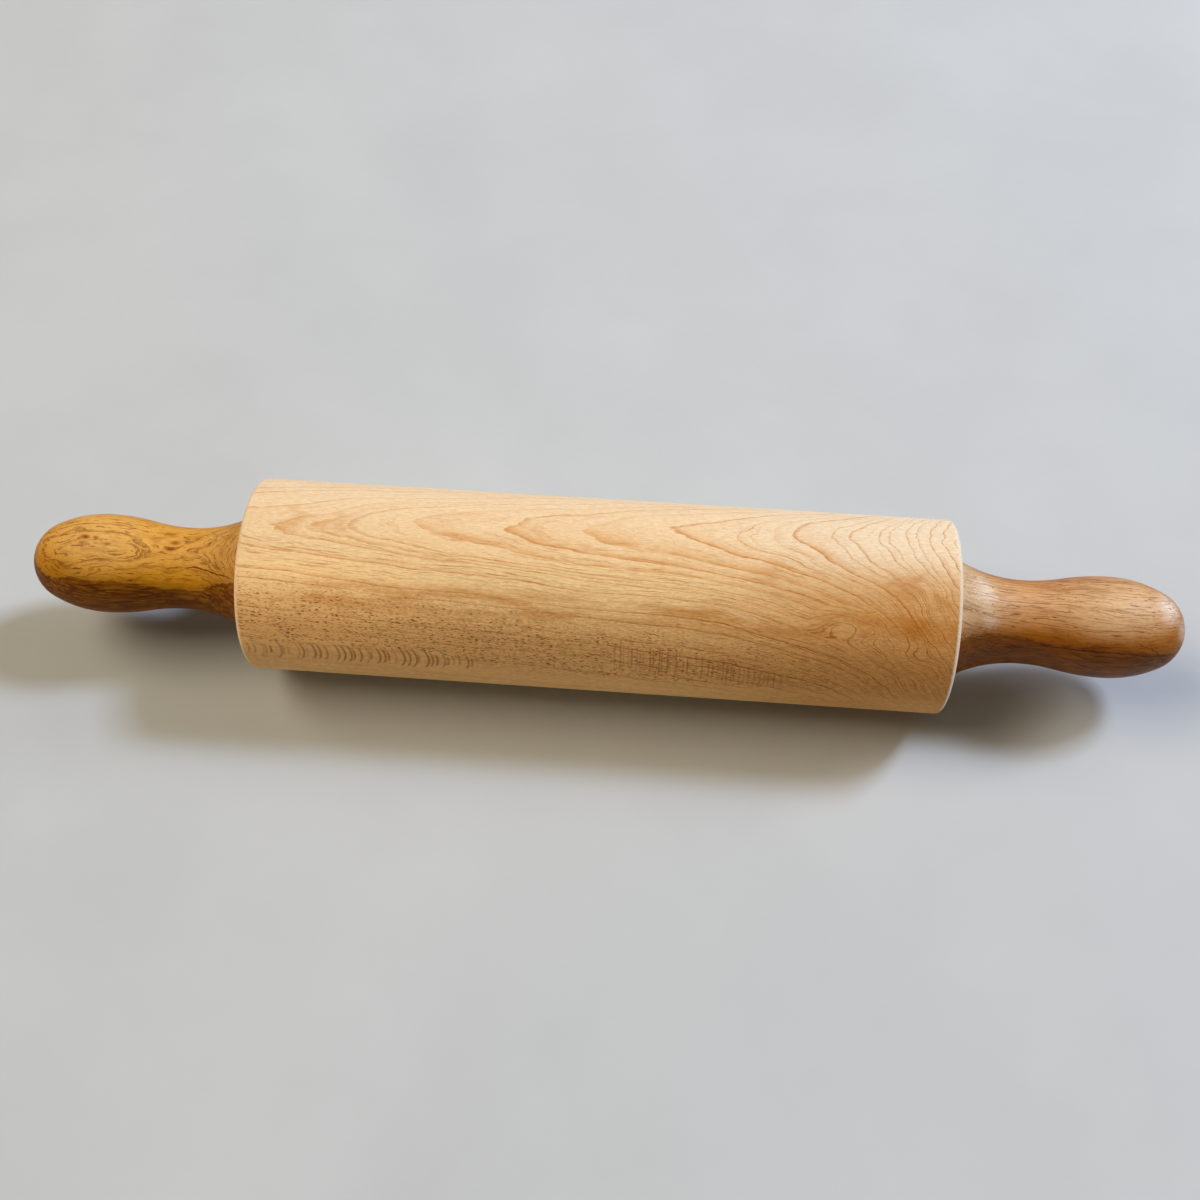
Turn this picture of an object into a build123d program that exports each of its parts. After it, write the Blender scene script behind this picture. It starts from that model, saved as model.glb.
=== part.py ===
from build123d import *

import os
from math import cos, radians, sin, sqrt, tan

# A rolling pin: a beech roller that spins on two ball bearings, on a steel axle with a turned handle
# screwed to each end. Millimetres. X runs along the axle and Z is up. The origin is on the axle's axis,
# at the middle of the roller. The right-hand pieces are drawn in place, and the left ones mirror them.

# Roller
roller_length = 250.0
roller_radius = 35.0
roller_edge_round = 2.0
roller_bore_radius = 8.0
seat_lead_in = 0.6
bearing_recess = 1.0

# Handles, as lathe outlines of tangent arcs from the flared face to the nose
handle_gap = 0.6
handle_length = 84.0
bulb_radius = 18.2
waist_depth = 3.2
flare_rise = 7.5
flare_arc_radius = 50.0
flare_edge_round = 0.8
dome_length = 27.5
nose_radius_share = 0.84
hollow_arc_share = 0.45

# Axle, and the blind holes that take its ends
axle_radius = 4.0
axle_hold_length = 50.0
axle_end_chamfer = 0.8
pilot_clearance = 0.1
pilot_end_space = 2.0
drill_point_angle = 118.0

# Threaded inserts with ridges that bite into the handles
insert_radius = 6.0
insert_length = 24.0
insert_ridge_height = 0.6
insert_ridge_count = 8

# Spacers between the bearings and the handles
spacer_wall = 1.5
spacer_chamfer = 0.2

# Retaining rings that hold the bearings apart on the axle
clip_thickness = 0.8
clip_groove_depth = 0.2
clip_groove_play = 0.1
clip_wall = 1.5
clip_taper = 0.25
clip_opening_angle = 50.0
clip_lug_radius = 1.0
clip_lug_hole_radius = 0.5

# Ball bearings of the 8 x 22 x 7 size
bearing_outer_radius = 11.0
bearing_width = 7.0
bearing_chamfer = 0.3
ball_count = 7
ball_radius_share = 0.2835
ring_wall_share = 0.3
groove_radius_share = 1.04
ball_play = 0.02
shield_thickness = 0.3
shield_setback = 0.3
shield_seat_depth = 0.7
shield_gap = 0.4
cage_gap = 0.35
cage_end_gap = 0.4
cage_grip_share = 0.45
pocket_play = 0.1

# One overrun serves every cut that leaves a piece through its own face
overrun = 1.0

# Places along the axle, measured from the roller's middle
half_roller = roller_length / 2
bearing_outer_face = half_roller - bearing_recess
bearing_middle = bearing_outer_face - bearing_width / 2
bearing_inner_face = bearing_outer_face - bearing_width
handle_face = half_roller + handle_gap
axle_end = handle_face + axle_hold_length

# Sizes inside a bearing
bearing_section = bearing_outer_radius - axle_radius
ball_circle_radius = (bearing_outer_radius + axle_radius) / 2
ball_radius = bearing_section * ball_radius_share
inner_land_radius = axle_radius + bearing_section * ring_wall_share
outer_land_radius = bearing_outer_radius - bearing_section * ring_wall_share
groove_radius = ball_radius * groove_radius_share
shield_face = bearing_width / 2 - shield_setback


def sleeve(inner, outer, start, end):
    """A plain round tube about X, or a solid bar where the inner radius is zero."""
    middle = Pos((start + end) / 2, (inner + outer) / 2)
    return revolve(Plane.XZ * middle * Rectangle(end - start, outer - inner), Axis.X)


def edged_sleeve(inner, outer, start, end, edge):
    """A round tube about X with all four of its corners broken."""
    middle = Pos((start + end) / 2, (inner + outer) / 2)
    section = middle * Rectangle(end - start, outer - inner)
    return revolve(Plane.XZ * chamfer(section.vertices(), edge), Axis.X)


def drilled_hole(radius, start, end):
    """The space that a twist drill leaves, with its pointed end beyond the full depth."""
    point = radius / tan(radians(drill_point_angle / 2))
    outline = Polyline((start, 0), (start, radius), (end, radius), (end + point, 0), close=True)
    return revolve(Plane.XZ * make_face(outline), Axis.X)


def at_bearing(shape):
    """Moves a piece drawn about the origin to the middle of the right-hand bearing."""
    return Pos(bearing_middle, 0, 0) * shape


def roller():
    bar = sleeve(0, roller_radius, -half_roller, half_roller)
    rims = bar.edges().filter_by(GeomType.CIRCLE)
    bar = fillet(rims, roller_edge_round)
    bar -= sleeve(0, roller_bore_radius, -half_roller, half_roller)
    seat = sleeve(0, bearing_outer_radius, bearing_inner_face, half_roller)
    mouth = Polyline(
        (half_roller - seat_lead_in, 0),
        (half_roller - seat_lead_in, bearing_outer_radius),
        (half_roller, bearing_outer_radius + seat_lead_in),
        (half_roller, 0),
        close=True,
    )
    seat += revolve(Plane.XZ * make_face(mouth), Axis.X)
    return bar - seat - mirror(seat, Plane.YZ)


def handle_outline():
    """Half the handle's lathe profile, with its flared face at zero and its nose at the handle's length."""
    neck_radius = bulb_radius - waist_depth
    face_radius = neck_radius + flare_rise
    neck_place = sqrt(2 * flare_arc_radius * flare_rise - flare_rise**2)
    bulb_place = handle_length - dome_length
    # Two arcs of opposite bend join the neck to the bulb and are level at both.
    run = bulb_place - neck_place
    both_radii = (run**2 + waist_depth**2) / (2 * waist_depth)
    hollow_radius = both_radii * hollow_arc_share
    belly_radius = both_radii - hollow_radius
    meeting = (neck_place + run * hollow_arc_share, neck_radius + waist_depth * hollow_arc_share)
    # The shoulder arc is level at the bulb and runs on into the nose arc, whose centre is on the axis.
    nose_radius = bulb_radius * nose_radius_share
    reach = dome_length - nose_radius
    shoulder_radius = (reach**2 + bulb_radius**2 - nose_radius**2) / (2 * (bulb_radius - nose_radius))
    lean = (shoulder_radius - bulb_radius) / (shoulder_radius - nose_radius)
    turn = sqrt(1 - lean**2)
    nose_start = (handle_length - nose_radius + nose_radius * turn, nose_radius * lean)

    flare = RadiusArc((0, face_radius), (neck_place, neck_radius), -flare_arc_radius)
    hollow = RadiusArc((neck_place, neck_radius), meeting, -hollow_radius)
    belly = RadiusArc(meeting, (bulb_place, bulb_radius), belly_radius)
    shoulder = RadiusArc((bulb_place, bulb_radius), nose_start, shoulder_radius)
    nose = RadiusArc(nose_start, (handle_length, 0), nose_radius)
    base = Polyline((handle_length, 0), (0, 0), (0, face_radius))
    return flare + hollow + belly + shoulder + nose + base


def handle():
    wood = revolve(Plane.XZ * make_face(handle_outline()), Axis.X)
    face_edge = wood.edges().filter_by(GeomType.CIRCLE).group_by(Axis.X)[0]
    wood = fillet(face_edge, flare_edge_round)
    wood -= sleeve(0, insert_radius, 0, insert_length)
    wood -= drilled_hole(axle_radius + pilot_clearance, 0, axle_hold_length + pilot_end_space)
    return Pos(handle_face, 0, 0) * wood


def handle_insert():
    """A threaded bush with saw-tooth ridges that keep it from pulling out of the wood."""
    pitch = insert_length / insert_ridge_count
    root_radius = insert_radius - insert_ridge_height
    points = [(0, axle_radius), (0, root_radius)]
    for step in range(insert_ridge_count):
        points.append((step * pitch, insert_radius))
        points.append(((step + 1) * pitch, root_radius))
    points.append((insert_length, axle_radius))
    bush = revolve(Plane.XZ * make_face(Polyline(*points, close=True)), Axis.X)
    return Pos(handle_face, 0, 0) * bush


def spacer():
    outer = axle_radius + spacer_wall
    return edged_sleeve(axle_radius, outer, bearing_outer_face, handle_face, spacer_chamfer)


def axle():
    rod = sleeve(0, axle_radius, -axle_end, axle_end)
    rod = chamfer(rod.edges().filter_by(GeomType.CIRCLE), axle_end_chamfer)
    groove = sleeve(
        axle_radius - clip_groove_depth,
        axle_radius + overrun,
        bearing_inner_face - clip_thickness - clip_groove_play,
        bearing_inner_face,
    )
    return rod - groove - mirror(groove, Plane.YZ)


def retaining_ring():
    """A sprung steel ring, thinner towards its opening, with a pierced lug on each side of it."""
    inner = axle_radius - clip_groove_depth
    outer = inner + clip_wall
    half_opening = radians(clip_opening_angle / 2)
    lug_place = inner + clip_lug_radius
    ring = Pos(0, clip_taper) * Circle(outer - clip_taper)
    reach = outer + clip_lug_radius
    opening = Polyline(
        (0, 0),
        (reach * sin(half_opening), -reach * cos(half_opening)),
        (-reach * sin(half_opening), -reach * cos(half_opening)),
        close=True,
    )
    ring -= make_face(opening)
    for side in (-1, 1):
        # Each lug stands beside the opening, with its edge on the opening's side.
        angle = half_opening + clip_lug_radius / lug_place
        place = Pos(side * lug_place * sin(angle), -lug_place * cos(angle))
        ring += place * Circle(clip_lug_radius)
        ring -= place * Circle(clip_lug_hole_radius)
    ring -= Circle(inner)
    start = Plane.YZ.offset(bearing_inner_face - clip_thickness)
    return extrude(start * ring, clip_thickness)


def race(bottom_radius, centre_radius):
    """The ring-shaped space that a ball groove takes, from the radius of the circle that it follows."""
    return Rot(0, 90, 0) * Torus(centre_radius, abs(bottom_radius - centre_radius))


def bearing_inner_ring():
    half = bearing_width / 2
    bottom = ball_circle_radius - ball_radius - ball_play
    ring = edged_sleeve(axle_radius, inner_land_radius, -half, half, bearing_chamfer)
    return at_bearing(ring - race(bottom, bottom + groove_radius))


def bearing_outer_ring():
    half = bearing_width / 2
    bottom = ball_circle_radius + ball_radius + ball_play
    ring = edged_sleeve(outer_land_radius, bearing_outer_radius, -half, half, bearing_chamfer)
    ring -= race(bottom, bottom - groove_radius)
    seat = sleeve(
        outer_land_radius - overrun,
        outer_land_radius + shield_seat_depth,
        shield_face - shield_thickness,
        half + overrun,
    )
    return at_bearing(ring - seat - mirror(seat, Plane.YZ))


def bearing_shield():
    """A thin ring on the handle's side of the balls, held in the outer ring and clear of the inner one."""
    return at_bearing(
        sleeve(
            inner_land_radius + shield_gap,
            outer_land_radius + shield_seat_depth,
            shield_face - shield_thickness,
            shield_face,
        )
    )


def round_the_race(shape):
    """Copies of a piece at every ball's place, the first one straight up."""
    step = 360 / ball_count
    return [Rot(index * step, 0, 0) * Pos(0, 0, ball_circle_radius) * shape for index in range(ball_count)]


def bearing_balls():
    return at_bearing(Compound(children=round_the_race(Sphere(ball_radius))))


def bearing_cage():
    """A moulded crown: one ring behind the balls, with open pockets that snap over them."""
    back = shield_face - shield_thickness - cage_end_gap
    crown = sleeve(
        inner_land_radius + cage_gap,
        outer_land_radius - cage_gap,
        -back,
        ball_radius * cage_grip_share,
    )
    for pocket in round_the_race(Sphere(ball_radius + pocket_play)):
        crown -= pocket
    return at_bearing(crown)


def write(name, shape):
    export_step(shape, f"parts/{name}.step")


def main():
    os.makedirs("parts", exist_ok=True)
    write("roller", roller())
    write("axle", axle())
    bearing_plane = Plane.YZ.offset(bearing_middle)
    right_hand = {
        "handle": handle(),
        "handle_insert": handle_insert(),
        "spacer": spacer(),
        "retaining_ring": retaining_ring(),
        "bearing_inner_ring": bearing_inner_ring(),
        "bearing_outer_ring": bearing_outer_ring(),
        "bearing_balls": bearing_balls(),
        "bearing_cage": bearing_cage(),
        "outboard_shield": bearing_shield(),
        "inboard_shield": mirror(bearing_shield(), bearing_plane),
    }
    for name, shape in right_hand.items():
        write(f"right_{name}", shape)
        write(f"left_{name}", mirror(shape, Plane.YZ))


main()
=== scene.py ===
"""The looks of a wooden rolling pin, built round its packed construction."""

from math import acos, cos, exp, pi, radians, sin, sqrt, tan

import bpy
from mathutils import Matrix, Vector


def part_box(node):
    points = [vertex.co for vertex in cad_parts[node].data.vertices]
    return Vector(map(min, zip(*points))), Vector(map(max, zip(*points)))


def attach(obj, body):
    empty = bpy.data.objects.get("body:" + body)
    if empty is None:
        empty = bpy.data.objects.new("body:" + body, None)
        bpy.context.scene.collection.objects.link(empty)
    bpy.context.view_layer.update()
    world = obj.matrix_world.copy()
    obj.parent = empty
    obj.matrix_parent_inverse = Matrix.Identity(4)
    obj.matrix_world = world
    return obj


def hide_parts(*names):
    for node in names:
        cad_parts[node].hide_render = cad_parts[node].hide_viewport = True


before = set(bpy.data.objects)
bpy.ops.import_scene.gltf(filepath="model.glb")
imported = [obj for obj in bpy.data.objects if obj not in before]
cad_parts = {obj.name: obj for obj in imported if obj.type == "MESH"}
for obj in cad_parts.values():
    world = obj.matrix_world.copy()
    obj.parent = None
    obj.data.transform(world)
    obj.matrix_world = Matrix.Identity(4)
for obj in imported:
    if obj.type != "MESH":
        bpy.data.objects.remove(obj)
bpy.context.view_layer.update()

bl_info = {
    "name": "Wooden rolling pin",
    "version": (1, 0, 0),
    "blender": (4, 5, 0),
    "location": "3D View > Sidebar > Rolling pin",
    "description": "Builds a beech rolling pin on ball bearings, with its woods, metals and stage",
    "category": "Add Mesh",
}

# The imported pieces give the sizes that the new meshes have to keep.
ROLLER_LOW, ROLLER_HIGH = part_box("roller")
HANDLE_LOW, HANDLE_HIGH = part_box("right_handle")
OUTER_RING_LOW, OUTER_RING_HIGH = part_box("right_bearing_outer_ring")
INSERT_LOW, INSERT_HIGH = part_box("right_handle_insert")
AXLE_LOW, AXLE_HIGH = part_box("axle")

MILLIMETRE = 0.001
MILLIMETRES_IN_A_METRE = 1000.0
# How many flat faces go round the roller and round each handle
ROLLER_STEPS, HANDLE_STEPS = 192, 160


def linear(colour):
    """An sRGB hex colour as the linear red, green, blue and alpha that the shaders work in."""
    channels = [int(colour[place : place + 2], 16) / 255 for place in (1, 3, 5)]
    return [c / 12.92 if c <= 0.04045 else ((c + 0.055) / 1.055) ** 2.4 for c in channels] + [1.0]


def length(name, description, default):
    """A length that the sidebar shows in the scene's own unit."""
    return bpy.props.FloatProperty(name=name, description=description, default=default, unit="LENGTH")


def angled(name, description, default):
    """An angle that the sidebar shows in degrees."""
    return bpy.props.FloatProperty(name=name, description=description, default=default, subtype="ANGLE")


def share(name, description, default):
    """A share from 0 to 1, shown as a slider."""
    return bpy.props.FloatProperty(name=name, description=description, default=default, subtype="FACTOR")


def tint(name, description, default):
    """A colour that the sidebar shows as a swatch, given as sRGB hex."""
    return bpy.props.FloatVectorProperty(
        name=name, description=description, default=linear(default), size=4, subtype="COLOR"
    )


class RollerSizes(bpy.types.PropertyGroup):
    """Sizes of the turned roller."""

    length: length("Length", "From end face to end face", ROLLER_HIGH.x - ROLLER_LOW.x)
    radius: length("Radius", "Half the roller's diameter", (ROLLER_HIGH.z - ROLLER_LOW.z) / 2)
    edge_round: length("Rim round", "Radius that is sanded on each rim", 2.0 * MILLIMETRE)
    bore_radius: length("Bore radius", "Radius of the hole for the axle", 8.0 * MILLIMETRE)
    seat_radius: length("Seat radius", "Radius of the bearing seats", OUTER_RING_HIGH.z)
    seat_depth: length("Seat depth", "Depth of the bearing seats", ROLLER_HIGH.x - OUTER_RING_LOW.x)
    seat_lead_in: length("Seat lead-in", "Chamfer at the mouth of each seat", 0.6 * MILLIMETRE)


class HandleSizes(bpy.types.PropertyGroup):
    """Sizes of a turned handle, from its flared face to its nose."""

    length: length("Length", "From the flared face to the nose", HANDLE_HIGH.x - HANDLE_LOW.x)
    bulb_radius: length("Bulb radius", "Radius at the thickest place", 18.2 * MILLIMETRE)
    waist_depth: length("Waist depth", "How much thinner the neck is than the bulb", 3.2 * MILLIMETRE)
    flare_rise: length("Flare rise", "How far the flare rises above the neck", 7.5 * MILLIMETRE)
    flare_arc: length("Flare arc", "Radius of the arc from neck to face", 50.0 * MILLIMETRE)
    flare_edge: length("Flare edge", "Radius sanded on the face's edge", 0.8 * MILLIMETRE)
    dome_length: length("Dome length", "From the bulb to the nose", 27.5 * MILLIMETRE)
    nose_share: share("Nose", "Radius of the nose as a share of the bulb's", 0.84)
    hollow_share: share("Hollow", "Share of the neck's slope that is hollow", 0.45)
    seat_radius: length("Insert radius", "Radius of the hole for the insert", INSERT_HIGH.z)
    seat_depth: length("Insert depth", "Depth of the hole for the insert", INSERT_HIGH.x - INSERT_LOW.x)
    pilot_radius: length("Pilot radius", "Radius of the hole for the axle's end", 4.1 * MILLIMETRE)
    pilot_depth: length("Pilot depth", "Full depth of it", AXLE_HIGH.x - HANDLE_LOW.x + 2.0 * MILLIMETRE)
    drill_half_angle: angled("Drill half angle", "Half the angle of the drill's point", radians(59))


class WoodColours(bpy.types.PropertyGroup):
    """Colours of the roller's wood and of both handles' woods."""

    # From the back to the low front the roller's colours deepen as painted shade.
    roller_pale: tint("Roller, back", "Sanded beech on its palest side", "#ECD6B4")
    roller_top: tint("Roller, top", "The same wood on top", "#EDD0A4")
    roller_front_painted_shade: tint("Roller, front", "The same wood at the front", "#F5D49D")
    roller_low_painted_shade: tint("Roller, low front", "The same wood low at the front", "#F6C07A")
    # Pale colour of the sanded rims and their painted highlight, also used for the painted reflection on the
    # roller's top right.
    roller_rim_and_sheen: tint("Roller, rims", "Sanded edge of the rims", "#F8E9CF")
    roller_tan: tint("Roller, tan shade", "Soft shade inside the arches", "#D59A54")
    roller_line: tint("Roller, ring lines", "Fine lines of the yearly rings", "#C07A2C")
    roller_fleck: tint("Roller, flecks", "Rays and pores", "#8C3E00")
    # The handles' dark lower sides are partly darker wood and partly painted shade.
    left_light: tint("Left handle, top", "Amber, where it is palest", "#E0B065")
    left_gold: tint("Left handle, side", "Amber, where it is deepest", "#D8971F")
    left_dark: tint("Left handle, below", "Its dark lower side", "#763C03")
    right_light: tint("Right handle, top", "Brown, where it is palest", "#E5C294")
    right_gold: tint("Right handle, side", "Brown, where it is deepest", "#AC680E")
    right_dark: tint("Right handle, below", "Its dark lower side", "#784208")
    handle_line: tint("Handle lines", "Grain lines and pores", "#6E3004")
    # Marks over the handles' darker lower side, which is partly painted shade.
    handle_crack: tint("Handle cracks", "The same marks in the dark wood below", "#3A1A02")
    handle_red: tint("Handle smudges", "Reddish knots in the left handle", "#8E4206")
    # Painted highlight: the pale patches on the right handle's flare and nose.
    handle_highlight: tint("Handle wear", "Bare wood where the oil is rubbed off", "#F3E2CC")


class StageSettings(bpy.types.PropertyGroup):
    """Camera and floor."""

    elevation: angled("Elevation", "Camera above the horizon", radians(57))
    distance: length("Distance", "From the axle to the camera", 0.5324)
    sideways: length("Sideways", "How far the camera stands to the right of the middle", 0.0271)
    lens: bpy.props.FloatProperty(
        name="Lens", description="Focal length in millimetres", default=43.8, subtype="DISTANCE_CAMERA"
    )
    pan: angled("Pan", "Camera turned to the left", 0.0499)
    tilt: angled("Tilt", "Camera turned down", 0.0036)
    roll: angled("Roll", "Camera rolled to the left", 0.0644)
    floor: tint("Floor", "Pale plain floor", "#C4CBD0")


def add(tree, kind, inputs=(), output=0, **settings):
    """Adds a node with its settings and its inputs, by place or by name, and gives back one output."""
    made = tree.nodes.new("ShaderNode" + kind)
    for name, value in settings.items():
        setattr(made, name, value)
    for key, value in inputs.items() if isinstance(inputs, dict) else enumerate(inputs):
        if isinstance(value, bpy.types.NodeSocket):
            tree.links.new(value, made.inputs[key])
        else:
            made.inputs[key].default_value = value
    return made.outputs[output] if made.outputs else None


def new_material(name):
    """An empty material and its node tree."""
    material = bpy.data.materials.new(name)
    material.use_nodes = True
    material.node_tree.nodes.clear()
    return material, material.node_tree


def dress(node_name, material):
    """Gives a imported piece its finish."""
    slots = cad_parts[node_name].data.materials
    slots.clear()
    slots.append(material)


def arc(start, end, radius, steps):
    """Points after the start, on an arc that bulges to the left of its travel if its radius is positive."""
    start, end = Vector(start), Vector(end)
    chord = end - start
    left = Vector((-chord.y, chord.x)).normalized()
    rise = sqrt(radius**2 - (chord.length / 2) ** 2)
    centre = (start + end) / 2 - left * rise * (1 if radius > 0 else -1)
    first = start - centre
    turn = 2 * acos(rise / abs(radius)) * (-1 if radius > 0 else 1)
    return [centre + Matrix.Rotation(turn * step / steps, 2) @ first for step in range(1, steps + 1)]


def lathe(name, profile, ring_steps, closed, mirrored=False, sharp_angle=radians(28)):
    """A smooth turned mesh about the X axis, with a hard edge wherever its profile turns sharply."""
    tip_radius = 1e-7
    side = -1 if mirrored else 1
    points = [Vector(p) for p in profile]
    vertices, rings = [], []
    for point in points:
        copies = 1 if point.y < tip_radius else ring_steps
        rings.append(list(range(len(vertices), len(vertices) + copies)))
        for step in range(copies):
            angle = 2 * pi * step / ring_steps
            vertices.append((side * point.x, point.y * sin(angle), point.y * cos(angle)))
    faces = []
    count = len(points)
    for index in range(count if closed else count - 1):
        near, far = rings[index], rings[(index + 1) % count]
        for step in range(ring_steps):
            after = (step + 1) % ring_steps
            corners = (
                near[step % len(near)],
                near[after % len(near)],
                far[after % len(far)],
                far[step % len(far)],
            )
            corners = tuple(dict.fromkeys(corners))
            faces.append(corners[::-1] if mirrored else corners)
    mesh = bpy.data.meshes.new(name)
    mesh.from_pydata(vertices, [], faces)
    mesh.shade_smooth()
    hard = set()
    for index in range(0 if closed else 1, count if closed else count - 1):
        before = points[index] - points[index - 1]
        after = points[(index + 1) % count] - points[index]
        if len(rings[index]) > 1 and before.angle(after) > sharp_angle:
            hard.update(rings[index])
    for edge in mesh.edges:
        edge.use_edge_sharp = all(v in hard for v in edge.vertices)
    mesh.validate()
    made = bpy.data.objects.new(name, mesh)
    bpy.context.scene.collection.objects.link(made)
    return made


def millimetre_place(tree):
    """The place in the piece, in millimetres, as a vector and as its three numbers."""
    metres = add(tree, "TexCoord", output="Object")
    place = add(tree, "VectorMath", (metres, (MILLIMETRES_IN_A_METRE,) * 3), operation="MULTIPLY")
    parts = add(tree, "SeparateXYZ", (place,)).node.outputs
    return place, parts["X"], parts["Y"], parts["Z"]


def joined(tree, operation, first, *others):
    """Numbers joined one after another into their sum, product or the like."""
    for other in others:
        first = add(tree, "Math", (first, other), operation=operation)
    return first


def times(tree, *values):
    """The product of some numbers."""
    return joined(tree, "MULTIPLY", *values)


def plus(tree, *values):
    """The sum of some numbers."""
    return joined(tree, "ADD", *values)


def fade(tree, *steps):
    """The product of soft steps, each a value, its start, its end and the heights there, or else 0 and 1."""
    heights = [add(tree, "MapRange", step, interpolation_type="SMOOTHSTEP") for step in steps]
    return times(tree, *heights)


def coated(tree, colour, *coats):
    """A colour under some coats, each with how much it covers and its own colour."""
    for cover, coat in coats:
        colour = add(tree, "Mix", {0: cover, 6: colour, 7: coat}, output=2, data_type="RGBA")
    return colour


def stretched(tree, place, cell, detail=2.0, roughness=0.5, output=0):
    """Noise from 0 to 1 whose cells have the given size in millimetres along X, Y and Z."""
    scaled = add(tree, "VectorMath", (place, [1 / side for side in cell]), operation="MULTIPLY")
    inputs = {"Vector": scaled, "Scale": 1.0, "Detail": detail, "Roughness": roughness}
    return add(tree, "TexNoise", inputs, output, normalize=True)


def wandering(tree, place, cell, reach, detail, roughness):
    """A shift that varies over cells of one size by the reach given, both in millimetres along X, Y and Z."""
    shift = stretched(tree, place, cell, detail, roughness, output=1)
    shift = add(tree, "VectorMath", (shift, (-0.5, -0.5, -0.5)), operation="ADD")
    return add(tree, "VectorMath", (shift, reach), operation="MULTIPLY")


def waved(tree, place, sway_cell, sway_reach, tremor_cell, tremor_reach):
    """The place in wood whose grain sways slowly and trembles finely, with both of these shifts."""
    sway = wandering(tree, place, sway_cell, sway_reach, 2.0, 0.5)
    tremor = wandering(tree, place, tremor_cell, tremor_reach, 3.0, 0.6)
    place = add(tree, "VectorMath", (place, sway), operation="ADD")
    return add(tree, "VectorMath", (place, tremor), operation="ADD"), sway, tremor


def speckled(tree, place, cell, size, drawn_share):
    """Separate specks, one at a random place in each cell, of which only a share are drawn."""
    scaled = add(tree, "VectorMath", (place, [1 / side for side in cell]), operation="MULTIPLY")
    cells = add(tree, "TexVoronoi", {"Vector": scaled, "Scale": 1.0, "Randomness": 1.0}).node.outputs
    chance = add(tree, "SeparateXYZ", (cells["Color"],))
    return fade(tree, (cells["Distance"], size, size * 0.4), (chance, 1.0 - drawn_share, 1.25 - drawn_share))


def curve(tree, value, points):
    """A line of straight runs through given points of value and height, level beyond its ends."""
    low, high = points[0][0], points[-1][0]
    bottom = min(height for place, height in points)
    top = max(height for place, height in points)
    along = add(tree, "MapRange", (value, low, high))
    drawn = add(tree, "FloatCurve", {"Value": along})
    line = drawn.node.mapping.curves[0]
    wanted = [((place - low) / (high - low), (height - bottom) / (top - bottom)) for place, height in points]
    line.points[0].location, line.points[-1].location = wanted[0], wanted[-1]
    for place in wanted[1:-1]:
        line.points.new(*place)
    for point in line.points:
        point.handle_type = "VECTOR"
    drawn.node.mapping.update()
    return add(tree, "Math", (drawn, top - bottom, bottom), operation="MULTIPLY_ADD")


# The roller's radius in millimetres, which the places of its patches are worked out from
ROLLER_RADIUS = 35.0


def round_the_wood(x, angle, radius=ROLLER_RADIUS):
    """A place on turned wood, in millimetres, from its angle in degrees back from the top."""
    return (x, radius * sin(radians(angle)), radius * cos(radians(angle)))


def patch(tree, place, centre, sizes):
    """A soft round patch about a place: 1 in its middle, falling to 0 at its sizes along X, Y and Z."""
    away = add(tree, "VectorMath", (place, centre), operation="SUBTRACT")
    away = add(tree, "VectorMath", (away, [1 / size for size in sizes]), operation="MULTIPLY")
    away = add(tree, "VectorMath", (away,), output="Value", operation="LENGTH")
    return fade(tree, (away, 1.0, 0.0))


def finish_wood(tree, colour, tone, height, relief, surface):
    """Ends a wood's tree: its colour lightened or darkened by a tone, its relief and its surface."""
    toned = add(tree, "VectorMath", {0: colour, "Scale": tone}, operation="SCALE")
    bump = add(tree, "Bump", {"Height": height, **relief})
    inputs = {"Base Color": toned, "Normal": bump, **surface}
    add(tree, "OutputMaterial", {"Surface": add(tree, "BsdfPrincipled", inputs)})


# The yearly rings of the roller, from its left end: where the tip of each lies along the top, in
# millimetres, and how dark its fine line and the soft tan shade inside it are
RINGS = (
    (-110, 0.45, 0.8),
    (-100, 0.05, 1.0),
    (-91, 0.6, 0.1),
    (-63, 0.1, 0.9),
    (-37, 0.6, 0.9),
    (-9, 0.1, 1.0),
    (24, 0.8, 1.0),
    (43, 0.7, 0.9),
    (46, 0.35, 0.1),
    (55, 0.05, 0.8),
    (64, 0.85, 1.0),
    (78, 0.6, 0.1),
    (84, 0.6, 0.2),
    (94, 0.85, 0.5),
    (97, 0.5, 0.1),
    (103, 0.8, 0.6),
    (107, 0.6, 0.1),
    (112, 0.8, 0.5),
    (117, 0.85, 0.5),
    (122, 0.6, 0.3),
)
# Width of the last ring in the list, and of the rings outside the list, in millimetres
LAST_RING, OUTER_RING = 8.0, 3.2
# The log's heart lies above the roller and slants across it: its height, its place across at the middle
# and its slope, and how far it is from the roller's top
HEART_HEIGHT, HEART_ACROSS, HEART_SLANT, HEART_TO_TOP = 55.0, 6.4, 0.082, 20.2
# How far the rings dip into the roller: at its middle, per millimetre along it, and in the curl near its
# right end, which grows over the length given
DIP, DIP_SLOPE, DIP_CURL, CURL_LENGTH = 16.4, 0.1, 0.37, 26.0
# Swirls in the grain near the right end: place along and round the roller, sizes and lift, in
# millimetres and degrees
SWIRLS = (
    (87, -40, (13, 8, 8), 8.0),
    (96, -43, (6, 6, 6), 5.0),
    (110, -59, (10, 8, 8), -7.0),
    (112, -20, (12, 9, 9), 4.0),
)
# Warm patches of the roller: place along and round it, sizes and strength
WARM_PATCHES = (
    (106, -17, (12, 7, 7), 0.55),
    (108, -38, (10, 9, 9), 0.5),
    (118, -24, (5, 6, 6), 0.4),
    (95, -43, (6, 5, 5), 0.45),
    (78, -40, (5, 7, 7), 0.4),
    (60, -14, (8, 6, 6), 0.3),
    (-106, 0, (9, 8, 8), 0.3),
    (-90, 2, (8, 7, 7), 0.25),
)
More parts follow.
